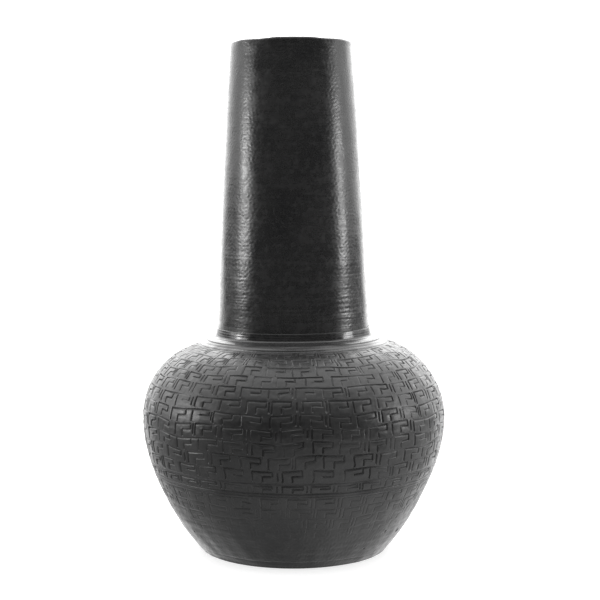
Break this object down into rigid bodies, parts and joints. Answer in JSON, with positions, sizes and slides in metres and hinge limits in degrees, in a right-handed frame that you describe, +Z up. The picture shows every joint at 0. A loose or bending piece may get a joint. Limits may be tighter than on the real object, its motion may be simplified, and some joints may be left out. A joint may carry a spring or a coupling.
{
  "type": "clay bottle vase",
  "caption": "Black clay bottle vase: a squat round body with a stamped fret band, on a flat foot, and a tall tapering neck with an open mouth.",
  "frame": {"origin": "centre of the flat foot, on the surface the vase stands on", "axes": "+Z up through the mouth; -Y is the front, and the neck leans half a degree towards -X"},
  "size_m": [0.21, 0.21, 0.3503],
  "materials": {
    "black_clay": "smoke-fired black clay, burnished to a satin gloss outside",
    "raw_clay": "smoke-fired black clay, matt and unburnished"
  },
  "bodies": {
    "root": {"base_disc": "black_clay", "foot_coil": "raw_clay", "lower_bowl": "black_clay", "belly_course": "black_clay", "shoulder_course": "black_clay", "neck_coil": "raw_clay", "neck_collar": "black_clay", "lower_neck": "black_clay", "upper_neck": "black_clay", "lip_coil": "black_clay"}
  },
  "joints": []
}
